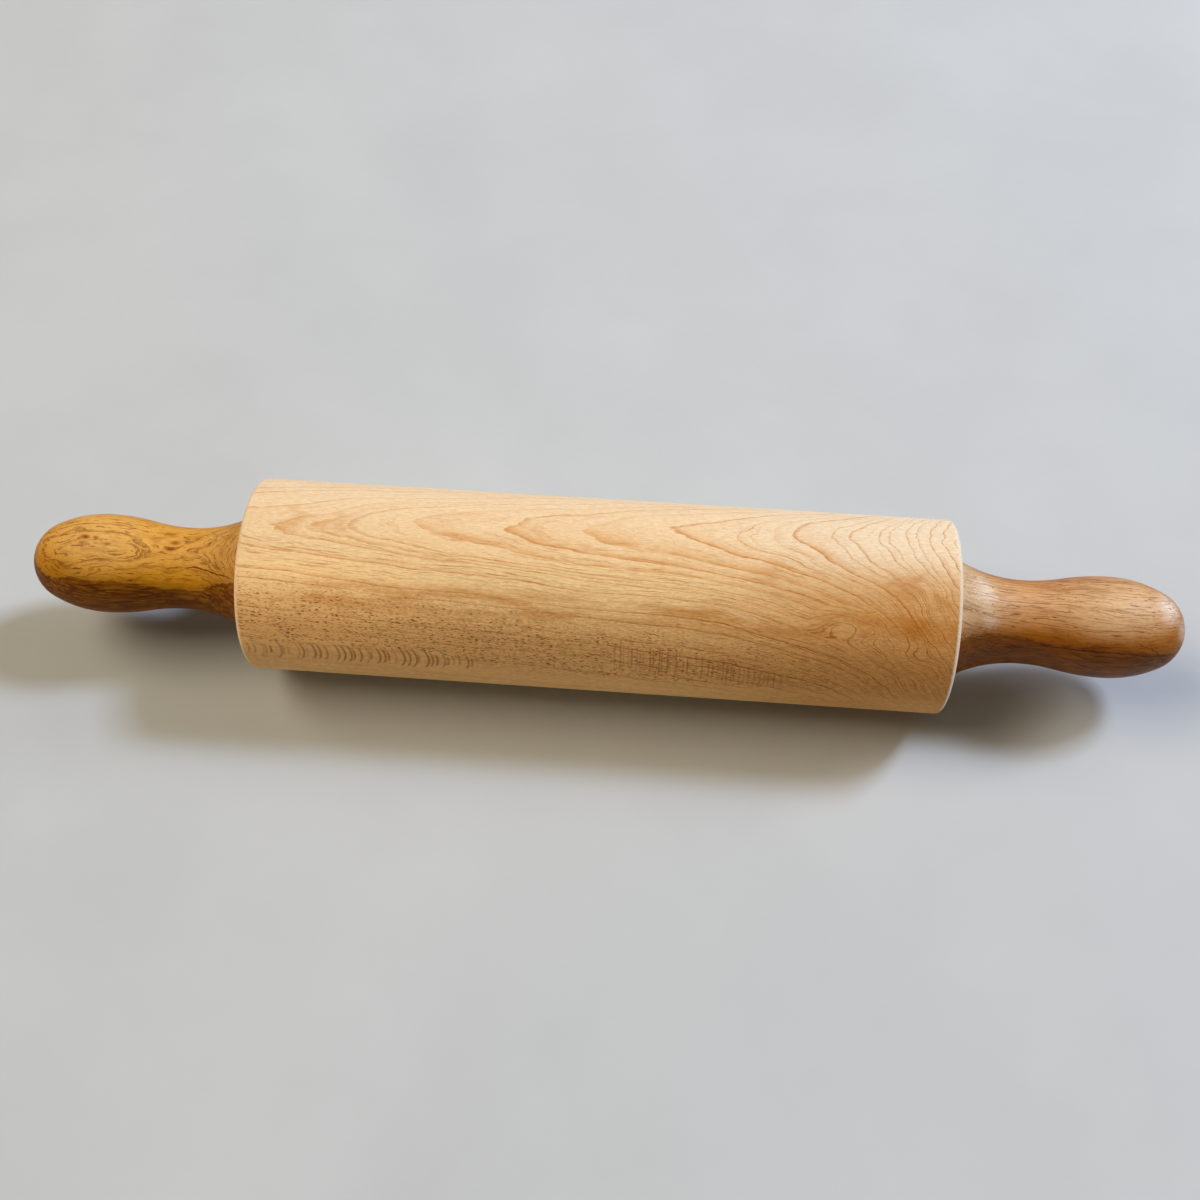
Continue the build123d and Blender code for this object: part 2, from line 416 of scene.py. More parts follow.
# Rows of ray ticks on the front: height of the row and half the height of a tick, both ends of the row
# along the roller, how much a tick bows, their spacing, how much the row slants, and strength
RAY_ROWS = (
    (4.4, 4.2, -126.0, -34.0, 0.07, 2.1, 0.0, 0.65),
    (13.4, 4.8, 2.0, 74.0, 0.004, 1.5, 0.12, 0.5),
)
# Flecks start at this place across the front and stop at this height, both by place along the roller.
FLECKS_START = ((-125, -9), (-60, -16), (0, -20), (70, -24), (125, -26))
FLECKS_STOP = ((-125, 6.5), (-60, 6.0), (-25, 0.0), (125, -2.0))


def ring_dip(x):
    """How far the yearly rings dip into the roller along it, in millimetres."""
    return DIP + DIP_SLOPE * x + DIP_CURL * exp(x / CURL_LENGTH)


def ring_depth(tree, place):
    """The depth of a place in the roller's rings, in millimetres out from where they reach the top."""
    sway_sizes = (40.0, 16.0, 16.0), (12.0, 4.0, 4.0)
    tremor_sizes = (5.0, 1.6, 1.6), (1.6, 0.6, 0.6)
    place = waved(tree, place, *sway_sizes, *tremor_sizes)[0]
    x = add(tree, "SeparateXYZ", (place,))
    across = add(tree, "Math", (x, HEART_SLANT, HEART_ACROSS), operation="MULTIPLY_ADD")
    heart = add(tree, "CombineXYZ", (x, across, HEART_HEIGHT))
    depth = add(tree, "VectorMath", (place, heart), output="Value", operation="DISTANCE")
    curl = add(tree, "Math", (times(tree, x, 1 / CURL_LENGTH),), operation="EXPONENT")
    dip = plus(tree, DIP, times(tree, x, DIP_SLOPE), times(tree, curl, DIP_CURL))
    depth = plus(tree, depth, -HEART_TO_TOP, times(tree, dip, -1.0))
    for along, angle, sizes, lift in SWIRLS:
        swirl = patch(tree, place, round_the_wood(along, angle), sizes)
        depth = add(tree, "Math", (swirl, lift, depth), operation="MULTIPLY_ADD")
    return depth


def ring_marks(tree, depth):
    """The fine dark line and the soft tan shade that end each yearly ring of the roller."""
    edges = [(-ring_dip(tip), float(number)) for number, (tip, line, shade) in enumerate(RINGS)]
    edges.append((edges[-1][0] - LAST_RING, float(len(RINGS))))
    inner = curve(tree, depth, edges[::-1])
    outer = add(tree, "Math", (plus(tree, depth, -edges[0][0]), 0.0), operation="MAXIMUM")
    number = plus(tree, times(tree, outer, 1 / OUTER_RING), times(tree, inner, -1.0))
    ring = add(tree, "Math", (number,), operation="FLOOR")
    within = add(tree, "Math", (number,), operation="FRACT")
    listed = add(tree, "Math", (ring, -0.5), operation="LESS_THAN")
    chance = add(tree, "TexWhiteNoise", {"W": ring}, noise_dimensions="1D")
    strengths = []
    for column, usual in ((1, 0.9), (2, 0.6)):
        points = [(-1.0 - index, row[column]) for index, row in enumerate(RINGS)]
        known = curve(tree, ring, points[::-1])
        unlisted = times(tree, chance, usual)
        strengths.append(add(tree, "Mix", {0: listed, 2: unlisted, 3: known}, data_type="FLOAT"))
    line = times(tree, fade(tree, (within, 0.82, 0.96), (within, 1.0, 0.98)), strengths[0])
    shade = add(tree, "Math", (within, 2.2), operation="POWER")
    shade = times(tree, shade, fade(tree, (within, 1.0, 0.985)), strengths[1])
    return line, shade


def ray_ticks(tree, x, z, row):
    """Upright ticks where the wood's rays come out edge-on, in one row on the front."""
    middle, half, start, end, bow, spacing, slant, strength = row
    height = add(tree, "Math", (x, slant, z), operation="MULTIPLY_ADD")
    rise = plus(tree, height, -middle)
    bowed = plus(tree, x, times(tree, rise, rise, bow))
    inputs = {"W": times(tree, bowed, 1 / spacing), "Scale": 1.0, "Randomness": 0.9}
    ticks = add(tree, "TexVoronoi", inputs, voronoi_dimensions="1D").node.outputs
    chance = add(tree, "SeparateXYZ", (ticks["Color"],)).node.outputs
    reach = add(tree, "Math", (chance["X"], half * 0.8, half * 0.5), operation="MULTIPLY_ADD")
    away = add(tree, "Math", (rise,), operation="ABSOLUTE")
    ragged = stretched(tree, add(tree, "CombineXYZ", (x, height, 0.0)), (1.5, 1.2, 1.0), 2.0, 0.6)
    away = add(tree, "Math", (ragged, 4.0, away), operation="MULTIPLY_ADD")
    away = add(tree, "Math", (away, reach), operation="SUBTRACT")
    tick = fade(tree, (ticks["Distance"], 0.3, 0.1), (away, 2.6, 1.2), (chance["Y"], -0.3, 0.8, 0.0, 0.9))
    return times(tree, tick, fade(tree, (x, start, start + 8.0), (x, end, end - 12.0)), strength)


def bare_beech(tree, place, x, y, z, colours):
    """The roller's wood before its lines and flecks: palest at the back and warmest low on the front as
    painted shade, with a painted reflection at the top right.
    """
    # Painted shade: the wood deepens from pale at the back to warm tan low on the front.
    across = add(tree, "MapRange", (y, ROLLER_RADIUS, -ROLLER_RADIUS))
    wood = add(tree, "ValToRGB", (across,))
    stops = wood.node.color_ramp.elements
    stops[0].position, stops[0].color = 0.10, colours.roller_pale
    stops[1].position, stops[1].color = 1.00, colours.roller_low_painted_shade
    for position, colour in ((0.5, colours.roller_top), (0.74, colours.roller_front_painted_shade)):
        stops.new(position).color = colour
    # Painted reflection: the top and back grow paler toward the right end.
    painted_sheen = times(tree, fade(tree, (x, 20.0, 100.0), (y, -18.0, 4.0)), 0.5)

    # Soft clouds of tan, a broken band across the front and a warm area at the right end
    cloud = stretched(tree, place, (34.0, 6.0, 6.0), 4.0, 0.6)
    clouds = times(tree, fade(tree, (cloud, 0.45, 0.75)), 0.25)
    band = fade(tree, (z, 21.0, 25.5), (z, 30.0, 26.5), (y, 0.0, -10.0), (cloud, 0.42, 0.62))
    right = fade(tree, (x, 20.0, 105.0), (y, 2.0, -22.0))
    tan_share = plus(tree, clouds, times(tree, band, 0.75), times(tree, right, 0.7))
    tan_share = times(tree, add(tree, "Math", (tan_share, 1.0), operation="MINIMUM"), 0.75)
    warm = plus(tree, times(tree, right, 0.3), times(tree, band, 0.2))
    roam = wandering(tree, place, (14.0, 7.0, 7.0), (26.0, 18.0, 18.0), 3.0, 0.6)
    roam = add(tree, "VectorMath", (roam, place), operation="ADD")
    for along, angle, sizes, strength in WARM_PATCHES:
        spot = patch(tree, roam, round_the_wood(along, angle), sizes)
        warm = add(tree, "Math", (spot, strength, warm), operation="MULTIPLY_ADD")
    return coated(
        tree,
        wood,
        (painted_sheen, colours.roller_rim_and_sheen),
        (tan_share, colours.roller_tan),
        (warm, colours.roller_line),
    )


def beech_flecks(tree, x, y, z, above):
    """Pores and ray flecks, which are short dark dashes along the grain, and the rows of ray ticks."""
    slope = add(tree, "Math", (x, 0.09, z), operation="MULTIPLY_ADD")
    sloped = add(tree, "CombineXYZ", (x, y, slope))
    front = fade(tree, (above, 0.0, 3.5), (y, -12.0, -31.0))
    start = add(tree, "Math", (y, curve(tree, x, FLECKS_START)), operation="SUBTRACT")
    uneven = stretched(tree, sloped, (9.0, 3.0, 3.0), 3.0, 0.6)
    many = fade(tree, (start, 0.0, -13.0), (uneven, 0.36, 0.6, 0.5, 1.0), (x, 40.0, 100.0, 1.0, 0.55))
    many = times(tree, many, front)
    dashes = fade(tree, (stretched(tree, sloped, (1.3, 0.32, 0.32), 1.0, 0.5), 0.56, 0.67))
    specks = speckled(tree, sloped, (2.3, 0.8, 0.8), 0.36, 0.75)
    few = speckled(tree, sloped, (5.0, 1.5, 1.5), 0.2, 0.4)
    marks = plus(
        tree,
        times(tree, dashes, many, 0.85),
        times(tree, specks, many, 0.95),
        times(tree, few, front, 0.5),
    )
    ticks = plus(tree, *[ray_ticks(tree, x, z, row) for row in RAY_ROWS])
    ticks = times(tree, ticks, fade(tree, (y, -20.0, -30.0)))
    marks = add(tree, "Math", (marks, ticks), operation="MAXIMUM")
    return add(tree, "Math", (marks, 1.0), operation="MINIMUM")


def sanded_beech(colours):
    """Steamed beech, turned and sanded with no finish: pale and dry, with soft tan arches and dark flecks."""
    material, tree = new_material("sanded_beech")
    place, x, y, z = millimetre_place(tree)
    depth = ring_depth(tree, place)
    line, shade = ring_marks(tree, depth)
    above = add(tree, "Math", (z, curve(tree, x, FLECKS_STOP)), operation="SUBTRACT")

    # The shade inside each arch is strongest below its tip.
    uneven = stretched(tree, place, (12.0, 4.0, 4.0), 2.0, 0.6)
    shade = times(tree, shade, fade(tree, (y, 9.0, -4.0, 0.3, 1.0), (uneven, 0.3, 0.62, 0.35, 1.0)), 0.95)

    # Lines are darker low on the front, and low at the left they give way to short dashes.
    darker = fade(tree, (y, -8.0, -30.0), (x, 20.0, 80.0, 0.55, 1.0))
    line_colour = coated(tree, colours.roller_line, (darker, colours.roller_fleck))
    dashed = fade(tree, (y, -13.0, -26.0), (x, 50.0, -20.0))
    whole = add(tree, "Math", (dashed, -0.6, 1.0), operation="MULTIPLY_ADD")
    broken = stretched(tree, place, (3.0, 0.9, 0.9), 2.0, 0.6)
    broken = fade(
        tree,
        (broken, 0.36, 0.56, 0.45, 1.0),
        (y, 5.0, -12.0, 0.75, 1.0),
        (above, -3.0, 4.0, 0.35, 1.0),
    )
    line = times(tree, line, broken, whole)

    # Hairlines follow the rings.
    layered = add(tree, "CombineXYZ", (x, depth, z))
    hair = stretched(tree, layered, (13.0, 0.3, 24.0), 2.0, 0.6)
    hair = fade(tree, (hair, 0.55, 0.68), (y, 4.0, -14.0, 0.2, 1.0), (above, 0.0, 5.0, 0.2, 1.0))
    hair = times(tree, hair, whole, 0.7)

    # The rims carry a pale line, partly the sanded edge and partly a painted highlight that is strongest on
    # the right rim.
    along = add(tree, "Math", (x,), operation="ABSOLUTE")
    across = add(tree, "CombineXYZ", (0.0, y, z))
    out = add(tree, "VectorMath", (across,), output="Value", operation="LENGTH")
    rim = fade(tree, (along, 123.2, 124.2), (out, 31.0, 33.5, 0.25, 1.0), (x, -100.0, 100.0, 0.45, 0.85))

    marks = beech_flecks(tree, x, y, z, above)
    colour = coated(
        tree,
        bare_beech(tree, place, x, y, z, colours),
        (shade, colours.roller_tan),
        (line, line_colour),
        (hair, line_colour),
        (marks, colours.roller_fleck),
        (rim, colours.roller_rim_and_sheen),
    )

    # Sanded fibres, drawn a little coarser than they are, and strongest low on the front
    fibre = stretched(tree, place, (2.4, 0.5, 0.5), 3.0, 0.75)
    grain = add(tree, "MapRange", (fibre, 0.25, 0.75, -0.18, 0.18))
    grain = times(tree, grain, fade(tree, (y, -10.0, -26.0, 1.0, 1.6)))
    # Painted light: low on the front, the left end is lightened.
    painted_light_low_left = fade(tree, (x, -30.0, -110.0, 0.0, 0.22), (y, -8.0, -20.0), (z, 2.0, 12.0))
    duller = fade(tree, (x, 20.0, 90.0, 0.0, -0.06), (y, -24.0, -14.0))
    tone = plus(tree, grain, 1.0, painted_light_low_left, duller)
    height = plus(tree, times(tree, marks, -0.3), times(tree, fibre, 0.5))
    relief = {"Strength": 0.25, "Distance": 0.1 * MILLIMETRE}
    surface = {"Roughness": 0.65, "Specular IOR Level": 0.08}
    finish_wood(tree, colour, tone, height, relief, surface)
    return material


# The heart of each handle's rings: its place across and its height in millimetres, and how it slants
LEFT_HEART = (12.0, -54.4, 0.02)
RIGHT_HEART = (66.0, 34.0, -0.05)
# How much the oil in each handle shines
LEFT_GLOSS, RIGHT_GLOSS = 0.06, 0.14
# Width of a handle's yearly rings, and where its bulb and its neck are along the pin, in millimetres
HANDLE_RING = 1.3
BULB_PLACE, NECK_PLACE = 182.0, 152.0
# Lines on the front of a handle run through points of place along it and height above the axle, in
# millimetres. The seam is where the lighter wood meets the darker lower side, which is partly darker wood and
# partly painted shade.
LEFT_SEAM = (
    (-199, 8.0),
    (-188, 10.8),
    (-174, 10.4),
    (-158, 6.9),
    (-147, 6.3),
    (-143, 7.4),
    (-138, 10.7),
    (-129, 14.9),
)
RIGHT_SEAM = (
    (130, 12.4),
    (138, 11.2),
    (149, 8.6),
    (160, 7.6),
    (170, 9.0),
    (186, 9.2),
    (197, 6.8),
    (204, 3.8),
)
LEFT_CRACKS = (((-149, 12.7), (-144, 13.3), (-136, 13.8), (-130, 15.0)),)
RIGHT_CRACKS = (
    ((150, 8.6), (160, 6.6), (165, 7.4), (173, 8.2), (180, 8.6), (188, 8.0), (197, 5.8), (204, 4.0)),
    ((189, 11.4), (193, 9.8), (196, 7.7), (200, 3.5)),
    ((168, 8.1), (174, 9.8), (181, 10.3)),
    ((158, -8.0), (170, -6.5), (185, -1.9)),
)
# Stains on the left handle and painted highlights on the right one: place along and round the handle, its
# radius there, sizes, and strength
LEFT_STAINS = (
    (-186, -3, 18, (2.8, 1.7, 3), 1.0),
    (-182, -3, 18, (2.0, 1.4, 3), 0.9),
    (-153, 5, 15, (3.2, 1.6, 3), 1.0),
    (-154, -8, 15, (3.4, 1.7, 3), 1.0),
)
RIGHT_HIGHLIGHTS = (
    (136, 2, 17.6, (6, 9, 7), 0.75),
    (137, -32, 17, (5, 5, 5), 0.4),
    (201, 4, 14, (8, 10, 8), 0.85),
    (208, -30, 9, (6, 8, 8), 0.5),
)
# Dashes of the oiled wood: cell of each layer in millimetres, and the share of its cells with a dash
DASHES = (
    ((15.0, 1.3, 1.3), 0.75),
    ((7.0, 0.9, 0.9), 0.6),
)
CRACK_WIDTH = 0.26


def drawn_line(tree, x, height, points, jag, thick):
    """A thin line through points of place and height, that jags and fades out at both its ends."""
    path = plus(tree, curve(tree, x, points), jag)
    away = add(tree, "Math", (height, path), operation="SUBTRACT")
    away = add(tree, "Math", (away,), operation="ABSOLUTE")
    first, last = points[0][0], points[-1][0]
    return fade(
        tree,
        (away, thick, thick * 0.35),
        (x, first - 0.5, first + 2.0),
        (x, last + 0.5, last - 2.0),
    )


def handle_rings(tree, place, waved_place, x, heart):
    """A handle's ring lines, and the depth of a place in its rings."""
    across, height, slant = heart
    along = add(tree, "SeparateXYZ", (waved_place,))
    height = add(tree, "Math", (along, slant, height), operation="MULTIPLY_ADD")
    centre = add(tree, "CombineXYZ", (along, across, height))
    depth = add(tree, "VectorMath", (waved_place, centre), output="Value", operation="DISTANCE")
    # The rings follow the handle's swell most of the way, which draws them out into long ovals.
    reach = add(tree, "Math", (x,), operation="ABSOLUTE")
    past = add(tree, "Math", (plus(tree, reach, -BULB_PLACE), 0.0), operation="MAXIMUM")
    swell = fade(tree, (reach, BULB_PLACE, NECK_PLACE, 0.0, 2.4))
    depth = plus(tree, depth, swell, times(tree, past, past, 0.008))
    number = times(tree, depth, 1 / HANDLE_RING)
    ring = add(tree, "Math", (number,), operation="FLOOR")
    within = add(tree, "Math", (number,), operation="FRACT")
    chance = add(tree, "TexWhiteNoise", {"W": ring}, noise_dimensions="1D")
    broken = stretched(tree, place, (7.0, 1.2, 1.2), 2.0, 0.6)
    line = fade(
        tree,
        (within, 0.6, 0.92),
        (within, 1.0, 0.94),
        (chance, 0.1, 0.9, 0.3, 1.0),
        (broken, 0.38, 0.58, 0.15, 1.0),
    )
    return line, depth


def oiled_beech(name, side, colours, heart, seam, cracks, spots, spot_colour, gloss):
    """Old beech soaked with oil and worn by hands: amber to brown, silky, with dark pores and fine cracks, a
    darker lower side that is partly painted shade, and spots: stains on the left handle, painted highlights
    on the right.
    """
    material, tree = new_material(name)
    light, gold, dark = (getattr(colours, f"{side}_{part}") for part in ("light", "gold", "dark"))
    place, x, y, z = millimetre_place(tree)
    sway_sizes = (26.0, 9.0, 9.0), (8.0, 4.0, 4.0)
    tremor_sizes = (4.0, 1.2, 1.2), (1.5, 0.6, 0.6)
    swayed, sway, tremor = waved(tree, place, *sway_sizes, *tremor_sizes)
    line, depth = handle_rings(tree, place, swayed, x, heart)

    # The darker lower side, partly darker wood and partly painted shade, starts at a jagged, frayed seam.
    jag = add(tree, "SeparateXYZ", (tremor,)).node.outputs["Z"]
    drift = add(tree, "SeparateXYZ", (sway,)).node.outputs["Z"]
    fray = stretched(tree, place, (9.0, 0.9, 0.9), 2.0, 0.6)
    fray = add(tree, "Math", (fray, 3.4, -1.7), operation="MULTIPLY_ADD")
    edge = plus(tree, curve(tree, x, seam), times(tree, jag, 2.0), times(tree, drift, 0.3), fray)
    below = add(tree, "Math", (z, edge), operation="SUBTRACT")
    crisp = times(tree, fade(tree, (below, 0.3, -0.7)), 0.65)
    shade = plus(tree, crisp, times(tree, fade(tree, (below, 4.5, -3.0)), 0.35))

    blotch = stretched(tree, place, (26.0, 6.0, 6.0), 3.0, 0.6)
    lowered = plus(tree, z, times(tree, blotch, -5.0))
    streak = stretched(tree, swayed, (16.0, 1.0, 1.0), 3.0, 0.65)
    colour = coated(
        tree,
        light,
        (fade(tree, (lowered, 19.0, 6.0)), gold),
        (times(tree, fade(tree, (blotch, 0.5, 0.75)), 0.35), dark),
        (times(tree, shade, fade(tree, (streak, 0.42, 0.66, 1.0, 0.6))), dark),
    )
    # Stains on the left handle; on the right handle these patches are painted highlights.
    for along, angle, radius, sizes, strength in spots:
        spot = patch(tree, swayed, round_the_wood(along, angle, radius), sizes)
        colour = coated(tree, colour, (times(tree, spot, strength), spot_colour))

    # Ring lines, hairlines along them, pores, cracks and the line of the seam
    layered = add(tree, "CombineXYZ", (x, depth, y))
    hair = fade(tree, (stretched(tree, layered, (9.0, 0.3, 6.0), 2.0, 0.6), 0.53, 0.66))
    front = fade(tree, (y, 2.0, -1.0))
    marks = [times(tree, line, 0.65), times(tree, hair, 0.6)]
    for cell, drawn_share in DASHES:
        marks.append(times(tree, speckled(tree, swayed, cell, 0.25, drawn_share), 0.8))
    for points in cracks:
        crack = drawn_line(tree, x, z, points, times(tree, jag, 2.2), CRACK_WIDTH)
        marks.append(times(tree, crack, front, 0.9))
    marks.append(times(tree, fade(tree, (below, -1.2, 0.0)), shade, front, 0.75))
    marks = joined(tree, "MAXIMUM", *marks)
    mark_colour = coated(tree, colours.handle_line, (shade, colours.handle_crack))
    colour = coated(tree, colour, (marks, mark_colour))

    fibre = stretched(tree, place, (1.6, 0.36, 0.36), 3.0, 0.7)
    tone = add(tree, "MapRange", (fibre, 0.25, 0.75, 0.8, 1.2))
    height = plus(tree, times(tree, marks, -1.0), times(tree, fibre, 0.3))
    relief = {"Strength": 0.3, "Distance": 0.12 * MILLIMETRE}
    surface = {"Roughness": 0.42, "Specular IOR Level": gloss}
    finish_wood(tree, colour, tone, height, relief, surface)
    return material


def machined_metal(name, colour, mark_cell, mark_depth, roughness):
    """A metal with fine marks whose cells have the given size in millimetres."""
    material, tree = new_material(name)
    marks = stretched(tree, millimetre_place(tree)[0], mark_cell, 2.0, 0.6)
    rough = add(tree, "MapRange", (marks, 0.3, 0.7, roughness * 0.8, roughness * 1.25))
    bump = add(tree, "Bump", {"Strength": mark_depth, "Distance": 0.02 * MILLIMETRE, "Height": marks})
    inputs = {"Base Color": linear(colour), "Metallic": 1.0, "Roughness": rough, "Normal": bump}
    add(tree, "OutputMaterial", {"Surface": add(tree, "BsdfPrincipled", inputs)})
    return material


def moulded_nylon():
    """Natural nylon 66, injection moulded: creamy white, with a faint mould grain."""
    material, tree = new_material("moulded_nylon")
    grain = stretched(tree, millimetre_place(tree)[0], (0.25, 0.25, 0.25), 2.0, 0.5)
    colour = coated(tree, linear("#E4DFCB"), (grain, linear("#D8D1B8")))
    bump = add(tree, "Bump", {"Strength": 0.2, "Distance": 0.02 * MILLIMETRE, "Height": grain})
    inputs = {"Base Color": colour, "Roughness": 0.42, "IOR": 1.53, "Normal": bump}
    add(tree, "OutputMaterial", {"Surface": add(tree, "BsdfPrincipled", inputs)})
    return material


class ROLLINGPIN_OT_roller(bpy.types.Operator):
    """Turn the beech roller"""

    bl_idname = "rolling_pin.roller"
    bl_label = "Roller"

    def execute(self, context):
        sizes = context.scene.pin_roller
        half = sizes.length / 2
        edge = sizes.edge_round
        mouth = half - sizes.seat_lead_in
        right = [(half - edge, sizes.radius)]
        right += arc(right[0], (half, sizes.radius - edge), edge, 8)
        right += [
            (half, sizes.seat_radius + sizes.seat_lead_in),
            (mouth, sizes.seat_radius),
            (half - sizes.seat_depth, sizes.seat_radius),
            (half - sizes.seat_depth, sizes.bore_radius),
        ]
        left = [(-point[0], point[1]) for point in reversed(right)]
        wood = lathe("beech_roller", left + right, ROLLER_STEPS, closed=True)
        wood.data.materials.append(sanded_beech(context.scene.pin_colours))
        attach(wood, "roller")
        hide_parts("roller")
        return {"FINISHED"}


def handle_profile(sizes):
    """A handle's lathe profile from its nose to the bottom of its bore, with the flared face at zero."""
    neck_radius = sizes.bulb_radius - sizes.waist_depth
    neck_place = sqrt(2 * sizes.flare_arc * sizes.flare_rise - sizes.flare_rise**2)
    bulb_place = sizes.length - sizes.dome_length
    run = bulb_place - neck_place
    both = (run**2 + sizes.waist_depth**2) / (2 * sizes.waist_depth)
    hollow = both * sizes.hollow_share
    belly = both - hollow
    meeting = (
        neck_place + run * sizes.hollow_share,
        neck_radius + sizes.waist_depth * sizes.hollow_share,
    )
    nose = sizes.bulb_radius * sizes.nose_share
    reach = sizes.dome_length - nose
    shoulder = (reach**2 + sizes.bulb_radius**2 - nose**2) / (2 * (sizes.bulb_radius - nose))
    lean = (shoulder - sizes.bulb_radius) / (shoulder - nose)
    turn = sqrt(1 - lean**2)
    nose_start = (sizes.length - nose + nose * turn, nose * lean)
    # The rounded edge of the face touches both the face and the flare.
    edge = sizes.flare_edge
    flare_centre = Vector((neck_place, neck_radius + sizes.flare_arc))
    drop = sqrt((sizes.flare_arc + edge) ** 2 - (neck_place - edge) ** 2)
    edge_centre = Vector((edge, flare_centre.y - drop))
    edge_start = edge_centre + (flare_centre - edge_centre).normalized() * edge
    edge_end = Vector((0, edge_centre.y))

    # Every arc ends with the number of straight runs that it is drawn in.
    points = [Vector((sizes.length, 0))]
    points += arc(points[-1], nose_start, -nose, 28)
    points += arc(points[-1], (bulb_place, sizes.bulb_radius), -shoulder, 24)
    points += arc(points[-1], meeting, -belly, 20)
    points += arc(points[-1], (neck_place, neck_radius), hollow, 20)
    points += arc(points[-1], edge_start, sizes.flare_arc, 26)
    points += arc(points[-1], edge_end, -edge, 6)
    drill_point = sizes.pilot_radius / tan(sizes.drill_half_angle)
    points += [
        Vector((0, sizes.seat_radius)),
        Vector((sizes.seat_depth, sizes.seat_radius)),
        Vector((sizes.seat_depth, sizes.pilot_radius)),
        Vector((sizes.pilot_depth, sizes.pilot_radius)),
        Vector((sizes.pilot_depth + drill_point, 0)),
    ]
    return points


class ROLLINGPIN_OT_handles(bpy.types.Operator):
    """Turn both handles"""

    bl_idname = "rolling_pin.handles"
    bl_label = "Handles"

    def execute(self, context):
        colours = context.scene.pin_colours
        profile = [point + Vector((HANDLE_LOW.x, 0)) for point in handle_profile(context.scene.pin_handle)]
        amber = (LEFT_HEART, LEFT_SEAM, LEFT_CRACKS, LEFT_STAINS, colours.handle_red, LEFT_GLOSS)
        brown = (RIGHT_HEART, RIGHT_SEAM, RIGHT_CRACKS, RIGHT_HIGHLIGHTS, colours.handle_highlight, RIGHT_GLOSS)
        woods = {
            "left": oiled_beech("amber_oiled_beech", "left", colours, *amber),
            "right": oiled_beech("brown_oiled_beech", "right", colours, *brown),
        }
        for side, wood in woods.items():
            mirrored = side == "left"
            handle = lathe(f"{side}_turned_handle", profile, HANDLE_STEPS, closed=False, mirrored=mirrored)
            handle.data.materials.append(wood)
            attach(handle, "handles_and_axle")
            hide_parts(f"{side}_handle")
        return {"FINISHED"}


class ROLLINGPIN_OT_axle(bpy.types.Operator):
    """Finish the axle and what it carries"""

    bl_idname = "rolling_pin.axle"
    bl_label = "Axle"

    def execute(self, context):
        dress("axle", machined_metal("drawn_bright_steel", "#C9C9C6", (12.0, 0.12, 0.12), 0.3, 0.28))
        brass = machined_metal("turned_brass", "#D9B568", (0.12, 3.0, 3.0), 0.4, 0.3)
        zinc = machined_metal("zinc_plated_steel", "#D2D3D6", (0.1, 3.0, 3.0), 0.3, 0.34)
        black = machined_metal("blackened_spring_steel", "#57534F", (0.4, 0.4, 0.4), 0.3, 0.45)
        for side in ("left", "right"):
            dress(f"{side}_handle_insert", brass)
            dress(f"{side}_spacer", zinc)
            dress(f"{side}_retaining_ring", black)
        return {"FINISHED"}


class ROLLINGPIN_OT_bearings(bpy.types.Operator):
    """Finish both ball bearings"""

    bl_idname = "rolling_pin.bearings"
    bl_label = "Ball bearings"

    def execute(self, context):
        ground = machined_metal("ground_bearing_steel", "#D6D6D8", (0.06, 2.5, 2.5), 0.15, 0.16)
        polished = machined_metal("polished_ball_steel", "#E0E0E2", (0.5, 0.5, 0.5), 0.05, 0.08)
        pressed = machined_metal("pressed_sheet_steel", "#CFCFD2", (0.6, 0.6, 0.6), 0.2, 0.26)
        nylon = moulded_nylon()
        for side in ("left", "right"):
            dress(f"{side}_bearing_inner_ring", ground)
            dress(f"{side}_bearing_outer_ring", ground)
            dress(f"{side}_bearing_balls", polished)
            dress(f"{side}_bearing_cage", nylon)
            dress(f"{side}_outboard_shield", pressed)
            dress(f"{side}_inboard_shield", pressed)
        return {"FINISHED"}


def plain_floor(colour):
    """A pale plain floor with a faint cloudiness and little gloss."""
    material, tree = new_material("pale_floor")
    cloud = stretched(tree, millimetre_place(tree)[0], (90.0, 90.0, 90.0), 4.0, 0.6)
    tone = add(tree, "MapRange", (cloud, 0.2, 0.8, 0.94, 1.04))
    toned = add(tree, "VectorMath", {0: colour[:3], "Scale": tone}, operation="SCALE")
    inputs = {"Base Color": toned, "Roughness": 0.85, "Specular IOR Level": 0.2}
    add(tree, "OutputMaterial", {"Surface": add(tree, "BsdfPrincipled", inputs)})
    return material


# The floor reaches this far from the pin each way, in metres.
FLOOR_REACH = 3.0
# Two cool windows stand to the right, a warm one to the left, and a ceiling light hangs above: the
# direction, distance and size of each in metres, its power in watts and its colour
LAMPS = (
    ("cool_window", (0.73, 0.47, 1.0), 3.0, (0.6, 0.5), 57.0, "#DCE8FF"),
    ("side_window", (1.5, 0.69, 1.0), 3.0, (0.8, 0.8), 24.0, "#FBF6F8"),
    ("warm_window", (-0.70, 0.03, 1.0), 3.0, (2.0, 1.6), 51.0, "#FFEBC9"),
    ("ceiling_light", (0.0, 0.0, 1.0), 1.8, (3.0, 3.0), 6.0, "#FFE8CC"),
)
ROOM_LIGHT, ROOM_LIGHT_STRENGTH = "#FFE6C8", 0.06
BACKDROP = "#DADBD8"


def lay_floor(scene, colour):
    """Puts the floor under the roller."""
    low = ROLLER_LOW.z
    mesh = bpy.data.meshes.new("floor")
    corners = [(x * FLOOR_REACH, y * FLOOR_REACH, low) for x, y in ((-1, -1), (1, -1), (1, 1), (-1, 1))]
    mesh.from_pydata(corners, [], [(0, 1, 2, 3)])
    mesh.materials.append(plain_floor(colour))
    floor = bpy.data.objects.new("floor", mesh)
    scene.collection.objects.link(floor)


